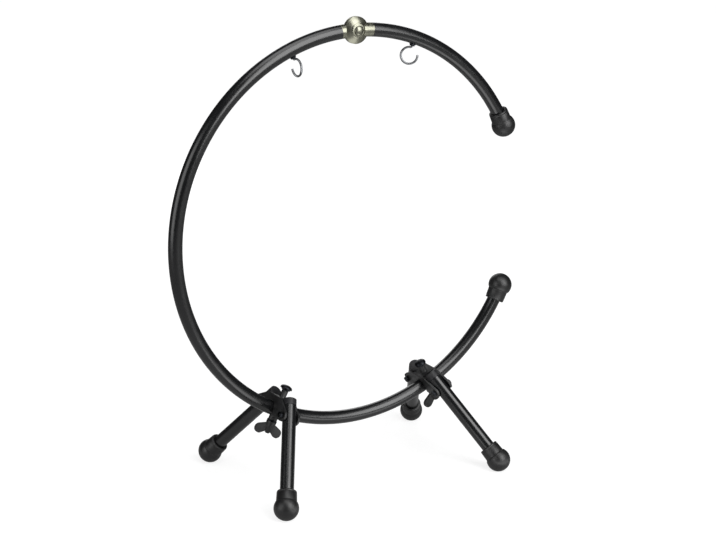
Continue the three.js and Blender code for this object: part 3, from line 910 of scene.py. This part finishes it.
def ear(direction):
    """One ear of a wing nut, in the plane of X and Z."""
    where = shift(direction * (WING_SPAN / 2 - WING_TIP), 0, WING_HEIGHT - WING_TIP)
    tip = disc(WING_TIP, WING, where @ turn(90, "X"))
    root = sorted((direction * 2, direction * (HUB + 0.5)))
    bar = slab(root, (-WING / 2, WING / 2), (HUB_HEIGHT * 0.25, HUB_HEIGHT * 0.85))
    return hull(tip, bar)


def wing_nut():
    """A cast wing nut with its seat at zero and its ears along X."""
    rings = [(0, 0), (HUB - 0.6, 0), (HUB, 0.6), (HUB - 0.15, 2), (HUB_TOP, HUB_HEIGHT - 0.8)]
    rings += [(HUB_TOP - 0.8, HUB_HEIGHT), (0, HUB_HEIGHT)]
    body = turned(rings)
    for direction in (-1, 1):
        combine(body, ear(direction), "UNION")
    soften(body, 0.9, segments=3, angle=50)
    return drill(body, CLAMP_SHANK + FIT, shift(z=-CLEAR))


model = wing_nut()
for side, angle in BRACKET_ANGLES.items():
    hand_over(smooth(place(saddle(), station(angle))), side + "_saddle")
    where = station(angle) @ shift(z=SADDLE_BASE + FIT + WASHER + FIT)
    hand_over(smooth(place(another(model), where), 40), side + "_wing_nut")
print("wing nuts", WING_SPAN, "mm across")

# %% [markdown]
# ## The knuckle
# The knuckle joins the two tubes at the top. Each half is a casting with half of a lens-shaped
# boss, a collar as thick as the tube, and a spigot inside the tube. The halves meet on a nylon
# washer and are clamped by one bolt with a wing nut at the back, so the arm can be folded down and
# held. The boss is a shallow cap, steepest at its rim, and a low bead runs round the bolt's head on
# the front half. The arm's collar is on the front half and the ring's on the rear half, and a
# cross-head screw at the back holds each spigot in its tube.

# %% Knuckle halves
KNUCKLE = 43 / 2
KNUCKLE_RIM = 2.8
HEAD_RADIUS = 15 / 2
HEAD_HEIGHT = 4.5
SEAT_DEPTH = 1.2
KNUCKLE_TAIL = 33
KNUCKLE_PLAIN = 12
FRICTION = 38 / 2
FRICTION_THICK = 1.2
SPLIT = FRICTION_THICK / 2 + FIT
BEAD = 21 / 2
BEAD_HALF = 2
BEAD_RISE = 0.6
LENS_STEPS = 36
LENS_SIDES = 72
SPIGOT = 24
SPIGOT_ROOT = 1.5
SPIGOT_RADIUS = 17 / 2


def half_lens(bead):
    """Half of the boss along Z, its flat at the split, with or without the bead."""
    edge = 0.4
    rings = [(0, SPLIT), (KNUCKLE - edge, SPLIT), (KNUCKLE, SPLIT + edge), (KNUCKLE, KNUCKLE_RIM)]
    for i in range(1, LENS_STEPS + 1):
        radius = KNUCKLE * math.cos(math.radians(90 * i / LENS_STEPS))
        height = KNUCKLE_RIM + (TUBE - KNUCKLE_RIM) * (1 - (radius / KNUCKLE) ** 2)
        if bead and abs(radius - BEAD) < BEAD_HALF:
            height += BEAD_RISE * math.cos((radius - BEAD) / BEAD_HALF * math.pi / 2) ** 2
        rings.append((radius, height))
    return turned(rings, sides=LENS_SIDES)


def knuckle_half(screw_side, bead):
    """The half in front, its collar towards +X. Turned round, it is the half behind."""
    boss = place(half_lens(bead), turn(90, "X"))
    collar = ring_bar(TUBE, ring_degrees(KNUCKLE / 2), ring_degrees(COLLAR_REACH), steps=8)
    behind = shift(y=THROUGH - SPLIT) @ turn(90, "X")
    combine(collar, disc(KNUCKLE + 1, 2 * THROUGH, behind, sides=LENS_SIDES), "DIFFERENCE")
    combine(boss, collar, "UNION")
    start = ring_degrees(COLLAR_REACH - SPIGOT_ROOT)
    end = ring_degrees(COLLAR_REACH + SPIGOT)
    spigot = ring_bar(SPIGOT_RADIUS, start, end, steps=8, sides=48)
    combine(boss, spigot, "UNION")
    seat = TUBE - SEAT_DEPTH
    drill(boss, CLAMP_SHANK + FIT, turn(90, "X") @ shift(z=-THROUGH))
    drill(boss, HEAD_RADIUS + FIT, turn(90, "X") @ shift(z=seat), length=2 * CLEAR, sides=48)
    angle = math.radians(screw_angle)
    screw = shift(x=RING * math.sin(angle), z=RING * (math.cos(angle) - 1))
    drill(boss, SCREW_SHANK + FIT, screw @ turn(-90 * screw_side, "X"), length=THROUGH)
    return boss


top = station(KNUCKLE_ANGLE)
front_half = place(knuckle_half(1, bead=True), top)
hand_over(smooth(front_half, 30), "arm_knuckle")
rear_half = place(knuckle_half(-1, bead=False), top @ turn(180, "Z"))
hand_over(smooth(rear_half, 30), "ring_knuckle")
print("knuckle", 2 * KNUCKLE, "mm round")

# %% Knuckle fasteners
SCREW_LENGTH = 9
SCREW_HEAD = 8 / 2
SCREW_HEAD_HEIGHT = 2.4
CROSS = 0.9
CROSS_FLOOR = 1.3

knuckle_seat = TUBE - SEAT_DEPTH + FIT
length, plain = knuckle_seat + KNUCKLE_TAIL, knuckle_seat + KNUCKLE_PLAIN
centre_bolt = bolt(CLAMP_SHANK, length, plain, CLAMP_PITCH, HEAD_RADIUS, HEAD_HEIGHT)
place(centre_bolt, top @ shift(y=-knuckle_seat) @ turn(90, "X"))
hand_over(smooth(centre_bolt), "knuckle_bolt")
friction = washer(CLAMP_SHANK + FIT, FRICTION, FRICTION_THICK)
place(friction, top @ shift(y=-FRICTION_THICK / 2) @ turn(-90, "X"))
hand_over(smooth(friction), "knuckle_friction_washer")
back = washer(CLAMP_SHANK + FIT, HEAD_WASHER, WASHER)
place(back, top @ shift(y=knuckle_seat) @ turn(-90, "X"))
hand_over(smooth(back), "knuckle_washer")
where = top @ shift(y=knuckle_seat + WASHER + FIT) @ turn(-90, "X")
hand_over(smooth(place(model, where), 40), "knuckle_wing_nut")

for node, side in (("arm", 1), ("ring", -1)):
    point = 0.6
    shank = [(0, -SCREW_LENGTH), (SCREW_SHANK - point, -SCREW_LENGTH)]
    shank += [(SCREW_SHANK, point - SCREW_LENGTH), (SCREW_SHANK, 0)]
    screw = turned(shank + domed(SCREW_HEAD, SCREW_HEAD_HEIGHT, SCREW_HEAD_HEIGHT / 4))
    along, across, deep = (-CLEAR, CLEAR), (-CROSS / 2, CROSS / 2), (CROSS_FLOOR, SCREW_HEAD)
    combine(screw, slab(along, across, deep), "DIFFERENCE")
    combine(screw, slab(across, along, deep), "DIFFERENCE")
    where = station(KNUCKLE_ANGLE + side * screw_angle) @ shift(y=TUBE + FIT)
    place(screw, where @ turn(-90, "X"))
    hand_over(smooth(screw), node + "_knuckle_screw")
print("knuckle fastened with", len([name for name in handed if "knuckle" in name]), "pieces")

# %% [markdown]
# ## The hooks
# Each hook is a length of drawn wire. Its shank turns in an insert that is pressed into the tube, a
# thin nut sits under it, and the wire then bends sideways into an open loop. The wire is made in
# one run: a circle is pushed down the shank and spun twice, first round the small bend and then
# round the loop, and its end is rounded over.

# %% Hooks
WIRE = 3.6 / 2
LOOP = 26.6 / 2
BEND = 2.2
SHANK_TOP = 2
NUT_HEIGHT = 1.8
FLANGE_HEIGHT = 0.8
FLANGE = 10.5 / 2
INSERT = 10
HOOK_FLATS = 8
MOUTH = 79
HOOK_TURNS = {"left": -148, "right": -31}
flange_face = -TUBE - CURVED_FIT - FLANGE_HEIGHT
nut_face = flange_face - FIT - NUT_HEIGHT
bend_height = nut_face - FIT
bend_offset = math.sqrt(LOOP**2 + 2 * LOOP * BEND)
lean = math.degrees(math.atan2(BEND, bend_offset))


def hook():
    """A hook along its shank: the shank comes down from zero and the loop hangs below."""
    bpy.ops.object.select_all(action="DESELECT")
    bpy.ops.mesh.primitive_circle_add(vertices=24, radius=WIRE * MM)
    piece = place(bpy.context.object, shift(z=-SHANK_TOP))
    bpy.ops.object.mode_set(mode="EDIT")
    bpy.ops.mesh.select_all(action="SELECT")
    down = (0, 0, (bend_height + SHANK_TOP) * MM)
    bpy.ops.mesh.extrude_edges_move(TRANSFORM_OT_translate={"value": down})
    small = math.radians(-90 + lean)
    centre = (-BEND * MM, 0, bend_height * MM)
    bpy.ops.mesh.spin(steps=10, angle=small, center=centre, axis=(0, 1, 0))
    centre = (0, 0, (bend_height - bend_offset) * MM)
    big = math.radians(360 - MOUTH)
    bpy.ops.mesh.spin(steps=56, angle=big, center=centre, axis=(0, 1, 0))
    bpy.ops.mesh.select_all(action="SELECT")
    bpy.ops.mesh.fill_holes(sides=0)
    close_up()
    bpy.ops.object.mode_set(mode="OBJECT")
    return piece


for side, angle in HOOK_ANGLES.items():
    wire = hook()
    soften(wire, 0.7, segments=3, angle=60)
    place(wire, station(angle) @ turn(HOOK_TURNS[side], "Z"))
    hand_over(smooth(wire, 60), side + "_hook")
    bore = WIRE + FIT
    rings = [(bore, flange_face), (FLANGE - 0.2, flange_face), (FLANGE, flange_face + 0.2)]
    insert = turned(rings + [(FLANGE, -BLANK), (bore, -BLANK), (bore, flange_face)])
    reach = ring_degrees(2 * FLANGE)
    combine(insert, ring_bar(TUBE + CURVED_FIT, -reach, reach, steps=6), "DIFFERENCE")
    low, high = flange_face + 0.1, flange_face + INSERT
    barrel = turned([(bore, low), (BARREL, low), (BARREL, high), (bore, high), (bore, low)])
    combine(insert, barrel, "UNION")
    hand_over(smooth(place(insert, station(angle))), side + "_hook_insert")
    nut = place(hex_nut(HOOK_FLATS, NUT_HEIGHT, bore), station(angle) @ shift(z=nut_face))
    hand_over(smooth(nut, 25), side + "_hook_nut")
print("hooks", 2 * LOOP, "mm across; without a fine piece:", set(body_of) - set(handed))

# %% [markdown]
# ## Floor, background and light
# The picture is a cut-out on white with hardly a shadow, and the tubes in it have dark edges and
# one grey band, so the stand stood in a dim studio under large softboxes. The floor here is a wide
# sheet of grey paper that takes the shadow. To the camera, and through anything clear, floor and
# world add just enough light of their own to read as white, which is more where the lamps fall off.
# Reflections get a share of that white, more from the floor near the stand, so that metal shows the
# pale background too and the black finishes stay black. FALL_OFF and POOL say between which
# distances from the middle, in metres, the first and the second of these change.

# %% Floor and world
FALL_OFF = (0.4, 2.4)
POOL = (0.35, 0.9)
NEAR_WHITE = 0.82
NEAR_SHARE = 0.25
FAR_SHARE = 0.04
AMBIENT = 0.06


def maths(material, operation, first, second):
    """The output of one maths node on two values."""
    return add_node(
        material, "ShaderNodeMath", {0: first, 1: second}, operation=operation
    ).outputs[0]


def white_rays(material, share):
    """How much of the background's white a ray gets: all of it, or a share in a reflection."""
    rays = add_node(material, "ShaderNodeLightPath").outputs
    clear, glossy = rays["Is Transmission Ray"], rays["Is Glossy Ray"]
    straight = maths(material, "MAXIMUM", rays["Is Camera Ray"], clear)
    mirrored = maths(material, "MULTIPLY", glossy, share)
    return maths(material, "MAXIMUM", straight, mirrored)


bpy.ops.object.select_all(action="DESELECT")
bpy.ops.mesh.primitive_plane_add(size=30)
floor = bpy.context.object
floor.name = "studio_floor"
floor_finish = bpy.data.materials.new("matt_grey_paper")
floor_finish.use_nodes = True
paper = floor_finish.node_tree.nodes["Principled BSDF"]
paper.inputs["Base Color"].default_value = linear("#9c9c9c")
paper.inputs["Roughness"].default_value = 0.9
paper.inputs["Specular IOR Level"].default_value = 0.0
paper.inputs["Emission Color"].default_value = (1, 1, 1, 1)
spot = add_node(floor_finish, "ShaderNodeTexCoord").outputs["Object"]
far = add_node(floor_finish, "ShaderNodeVectorMath", {0: spot}, operation="LENGTH").outputs["Value"]
added = between(far, *FALL_OFF, NEAR_WHITE, 1)
white = add_node(floor_finish, "ShaderNodeMapRange", added).outputs["Result"]
pool = between(far, *POOL, NEAR_SHARE, FAR_SHARE)
share = add_node(floor_finish, "ShaderNodeMapRange", pool).outputs["Result"]
glow = maths(floor_finish, "MULTIPLY", white_rays(floor_finish, share), white)
floor_finish.node_tree.links.new(glow, paper.inputs["Emission Strength"])
floor.data.materials.append(floor_finish)

world = bpy.data.worlds.new("studio")
bpy.context.scene.world = world
world.use_nodes = True
sky = world.node_tree.nodes["Background"]
sky.inputs["Color"].default_value = (1, 1, 1, 1)
strength = maths(world, "MAXIMUM", white_rays(world, FAR_SHARE), AMBIENT)
world.node_tree.links.new(strength, sky.inputs["Strength"])
print("white floor and world")

# %% [markdown]
# The tubes show what lights them: mirrored about a tube's axis, the camera's line points at what
# each strip of it reflects. The grey band down the middle, brightest at the upper left, is a tall
# softbox in front, a little to the right. The tops of the legs and of the ring show one overhead,
# and the outside of the ring one at the left. The undersides catch a white card on the floor. A
# weaker softbox behind does the same for the back, and from the front it shows only at the very
# edges. A lamp's brightness is set for each square metre of it, so that its mirror image stays the
# same when its size changes.


# %% Lamps
def softbox(name, azimuth, elevation, distance, width, height, bright):
    """A rectangular lamp that faces the stand, at angles in degrees and lengths in metres."""
    a, e = math.radians(azimuth), math.radians(elevation)
    back = Vector((math.sin(a) * math.cos(e), -math.cos(a) * math.cos(e), math.sin(e)))
    bpy.ops.object.light_add(type="AREA", location=AIM + back * distance)
    lamp = bpy.context.object
    lamp.name = name
    lamp.data.shape = "RECTANGLE"
    lamp.data.size = width
    lamp.data.size_y = height
    lamp.data.energy = bright * math.pi * width * height
    lamp.visible_camera = False
    lamp.rotation_mode = "QUATERNION"
    lamp.rotation_quaternion = (-back).to_track_quat("-Z", "Y")
    return lamp


softbox("key_softbox", 18, 31, 2.4, width=1.75, height=2.5, bright=4.2)
softbox("overhead_softbox", -15, 79, 2.0, width=1.4, height=1.2, bright=2.2)
softbox("left_softbox", -83, 14, 2.2, width=1.5, height=1.7, bright=1.8)
softbox("rear_softbox", 158, 16, 2.5, width=1.5, height=1.6, bright=1.6)
card = softbox("floor_card", 0, -90, 0.3, width=0.55, height=0.45, bright=1.5)
card.location = (0.1, -0.4, 0.005)
print("four softboxes and a white card")

# %% Picture settings
bpy.context.scene.view_settings.view_transform = "Standard"
